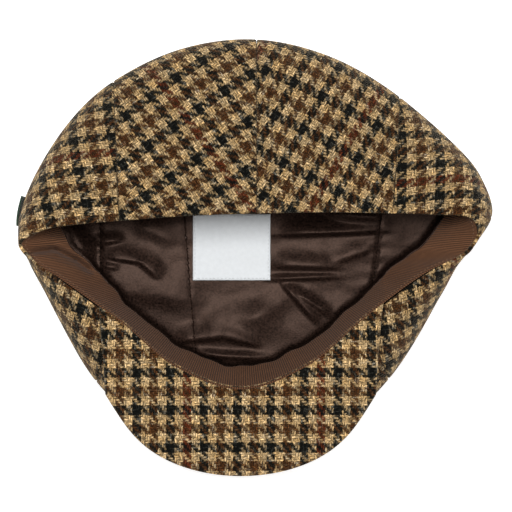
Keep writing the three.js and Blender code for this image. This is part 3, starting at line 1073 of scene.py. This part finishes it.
class Wool(Graph):
    """The tweed's graph: a and b number the threads of the cloth, i and j are whole numbers."""

    def __init__(self, name):
        super().__init__(name)
        self.straight = self.attribute("weave")
        self.a = self.wandered(0, "wander a", "hairs a")
        self.b = self.wandered(1, "wander b", "hairs b")
        self.i, self.j = self.math("FLOOR", self.a), self.math("FLOOR", self.b)
        crossing = self.math("FLOORED_MODULO", self.sum(self.i, self.j), 2 * FLOAT_THREADS)
        self.warp_on_top = self.math("LESS_THAN", crossing, FLOAT_THREADS - 0.5)

    def streak(self, name, low=0.3, high=0.7):
        """Noise drawn out one way, spread from 0 to 1."""
        fast_a, fast_b, shift = STREAKS[name]
        x = self.scaled(self.straight[0], fast_a, shift)
        y = self.scaled(self.straight[1], fast_b, shift)
        return self.ramp(self.noise(self.vector(x, y), scale=1.0, roughness=0.55), low, high)

    def stray(self, name, size):
        return self.product(self.math("SUBTRACT", self.streak(name), 0.5), size)

    def wandered(self, way, thread, hairs):
        """Thread numbers one way: threads wander, and their hairs reach over their neighbours."""
        strays = self.sum(self.stray(thread, WANDER), self.stray(hairs, HAIR_REACH))
        return self.sum(self.straight[way], strays)

    def dark(self, n):
        place = self.math("FLOORED_MODULO", n, TOOTH_THREADS)
        return self.math("LESS_THAN", place, DARK_THREADS - 0.5)

    def group(self, n, count):
        number = self.math("FLOOR", self.math("DIVIDE", n, TOOTH_THREADS))
        return self.math("FLOORED_MODULO", number, count)

    def arch(self, value, period):
        t = self.math("DIVIDE", self.math("FLOORED_MODULO", value, period), period)
        return self.product(self.product(t, self.math("SUBTRACT", 1.0, t)), 4.0)

    def thread(self, across, along):
        """Height of a thread, round across and arched along its float."""
        return self.product(self.arch(across, 1), self.scaled(self.arch(along, FLOAT_THREADS), *FLOAT_RISE))

    def height(self):
        """Height of the thread on top."""
        weft = self.thread(self.b, self.sum(self.a, self.j))
        warp = self.thread(self.a, self.sum(self.i, self.b))
        return self.either(self.warp_on_top, weft, warp)

    def fibre(self):
        weft, warp = self.streak("fibre weft"), self.streak("fibre warp")
        return self.either(self.warp_on_top, weft, warp)

    def threads(self, dark_warp, dark_weft):
        """Colour of the thread on top, with some of the thread below showing through."""
        number = self.group(self.i, RUST_EVERY)
        odd = self.math("FLOORED_MODULO", number, 2)
        first = self.math("LESS_THAN", number, 0.5)
        light = self.mix(self.streak("patches"), GOLD, TAN)
        warp = self.mix(dark_warp, light, self.mix(first, self.mix(odd, BROWN, BLACK), RUST))
        weft = self.mix(dark_weft, light, self.mix(self.group(self.j, 2), BLACK, BROWN))
        over = self.mix(self.warp_on_top, weft, warp)
        under = self.mix(self.warp_on_top, warp, weft)
        return self.mix(self.product(self.streak("below"), SHOW_THROUGH), over, under)

    def pale_hairs(self, crossed):
        """How strongly pale hairs show, most where dark and light cross."""
        one, two = self.streak("pale a", *PALE_SPREAD), self.streak("pale b", *PALE_SPREAD)
        strength = self.scaled(crossed, PALE_CROSSED, PALE_LEAST)
        return self.product(self.math("MAXIMUM", one, two), strength)


def tweed():
    """Houndstooth in two-and-two twill: four dark threads and four light ones each way."""
    g = Wool("tweed")
    dark_warp, dark_weft = g.dark(g.i), g.dark(g.j)
    crossed = g.math("ABSOLUTE", g.math("SUBTRACT", dark_warp, dark_weft))
    colour = g.mix(g.pale_hairs(crossed), g.threads(dark_warp, dark_weft), CREAM)
    high, fibre = g.height(), g.fibre()
    # Painted shade, darker down into the hollows between threads, times the piece's painted light or shade
    shade = g.product(g.straight[2], g.scaled(high, *HOLLOW_PAINTED_SHADE))
    shade = g.product(shade, g.scaled(fibre, *FIBRE_SHADE))
    shade = g.product(shade, g.scaled(crossed, *CROSSED_SHADE))
    colour = g.add("Gamma", {"Color": g.shaded(colour, shade), "Gamma": EYE_GAMMA}).outputs[0]
    g.set(Base_Color=colour, Roughness=0.95, Specular_IOR_Level=0.1)
    g.set(Sheen_Weight=0.14, Sheen_Roughness=0.4, Sheen_Tint=WOOL_SHEEN)
    g.bump(g.scaled(fibre, FIBRE_RISE, high), strength=0.7, distance=0.0006)
    return g.material


def satin():
    g = Graph("satin")
    place = g.place()
    cloudy = g.mix(g.noise(place, SATIN_CLOUDS, detail=3.0), *SATIN)
    grain = g.noise(place, SATIN_GRAIN)
    uneven = g.noise(place, SATIN_UNEVEN, detail=1.0)
    g.set(Base_Color=g.shaded(cloudy, g.scaled(grain, *GRAIN_SHADE)), Roughness=0.39)
    g.set(Specular_IOR_Level=0.195, Specular_Tint=SATIN_GLOSS)
    g.bump(g.scaled(grain, GRAIN_RISE, uneven), strength=0.5, distance=0.0016)
    return g.material


def ribbon():
    g = Graph("ribbon")
    a, b, _ = g.attribute("weave")
    rib = g.wave(a, RIB_PITCH)
    colour = g.mix(g.noise(g.vector(a, b), RIBBON_CLOUDS, detail=3.0), *RIBBON)
    # Painted shade: the ribbon darkens in the grooves between its ribs
    g.set(Base_Color=g.shaded(colour, g.ramp(rib, *RIB_PAINTED_SHADE)), Roughness=0.7)
    g.set(Sheen_Weight=0.05, Specular_IOR_Level=0.15)
    g.bump(rib, strength=0.5, distance=0.0004)
    return g.material


def woven(name, base, pitch):
    """Plain cloth in one colour."""
    g = Graph(name)
    a, b, _ = g.attribute("weave")
    tone = g.noise(g.vector(a, b), CLOTH_CLOUDS, detail=3.0)
    g.set(Base_Color=g.mix(tone, darker(base, CLOTH_DARK), base), Roughness=0.7, Sheen_Weight=0.2)
    g.bump(g.product(g.wave(a, pitch), g.wave(b, pitch)), strength=0.3, distance=0.0002)
    return g.material


def sewing(name, base):
    """Thread for stitches."""
    g = Graph(name)
    place = g.place()
    colour = g.mix(g.noise(place, THREAD_CLOUDS), darker(base, THREAD_DARK), base)
    g.set(Base_Color=colour, Roughness=0.75, Specular_IOR_Level=0.2)
    g.bump(g.noise(place, THREAD_FIBRES), strength=0.3, distance=0.0002)
    return g.material


def floor_paper():
    g = Graph("floor")
    g.set(Base_Color=FLOOR_GREY, Roughness=0.9, Specular_IOR_Level=0.1)
    g.set(Emission_Color=WHITE, Emission_Strength=0.6)
    return g.material


def finish_piece(obj, material, node):
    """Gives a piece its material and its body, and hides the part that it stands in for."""
    obj.data.materials.append(material)
    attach(obj, "root")
    if node:
        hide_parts(node)
    return obj


def build_tweed():
    wool = tweed()
    for n, (name, panel) in enumerate(PANELS.items()):
        obj, flat, area = crown_panel("tweed_" + name, panel)
        finish_piece(obj, wool, name)
    stiff = finish_piece(peak(), wool, "peak")


def build_inside():
    obj, sewn = sweatband()
    finish_piece(obj, ribbon(), "sweatband")
    finish_piece(sewn, sewing("ribbon_thread", RIBBON_THREAD), None)
    bag_cloth = satin()
    for obj in lining():
        node = obj.name.removeprefix("satin_")
        finish_piece(obj, bag_cloth, node)
    obj, sewn = label()
    finish_piece(obj, woven("label_cloth", LABEL_CLOTH, LABEL_PITCH), "label")
    finish_piece(sewn, sewing("label_thread", LABEL_THREAD), None)
    obj = finish_piece(side_tab(), woven("tab_cloth", TAB_CLOTH, TAB_PITCH), "side_tab")


def look_down():
    """Camera straight above, in the photograph's frame, with a long lens."""
    data = bpy.data.cameras.new("camera")
    data.sensor_width = SENSOR
    data.lens = SENSOR * CAMERA_AWAY / (IMAGE_PIXELS * MM_PER_PIXEL * MM)
    data.clip_end = CAMERA_FAR
    cam = bpy.data.objects.new("camera", data)
    middle = pixel_place((IMAGE_PIXELS / 2, IMAGE_PIXELS / 2)) * MM
    cam.location = (middle[0], middle[1], SCALE_LEVEL + CAMERA_AWAY)
    bpy.context.collection.objects.link(cam)
    bpy.context.scene.camera = cam


def area_light(name, place, power, size):
    """A square lamp that faces the origin."""
    data = bpy.data.lights.new(name, "AREA")
    data.energy = power
    data.size = size
    lamp = bpy.data.objects.new(name, data)
    lamp.location = place
    lamp.rotation_mode = "QUATERNION"
    lamp.rotation_quaternion = lamp.location.to_track_quat("Z", "Y")
    bpy.context.collection.objects.link(lamp)


def studio():
    scene = bpy.context.scene
    scene.view_settings.view_transform = "Standard"
    world = bpy.data.worlds.new("studio")
    world.use_nodes = True
    background = world.node_tree.nodes["Background"]
    background.inputs["Color"].default_value = WHITE
    background.inputs["Strength"].default_value = WORLD_STRENGTH
    scene.world = world
    area_light("key", **KEY_LIGHT)
    area_light("fill", **FILL_LIGHT)


def white_floor():
    corners = [(FLOOR_HALF * x, FLOOR_HALF * y, 0) for x, y in ((-1, -1), (1, -1), (1, 1), (-1, 1))]
    mesh = bpy.data.meshes.new("floor")
    mesh.from_pydata(corners, [], [(0, 1, 2, 3)])
    floor = bpy.data.objects.new("floor", mesh)
    floor.location.z = FLOOR_LEVEL
    floor.data.materials.append(floor_paper())
    bpy.context.collection.objects.link(floor)


build_tweed()
build_inside()
look_down()
studio()
white_floor()
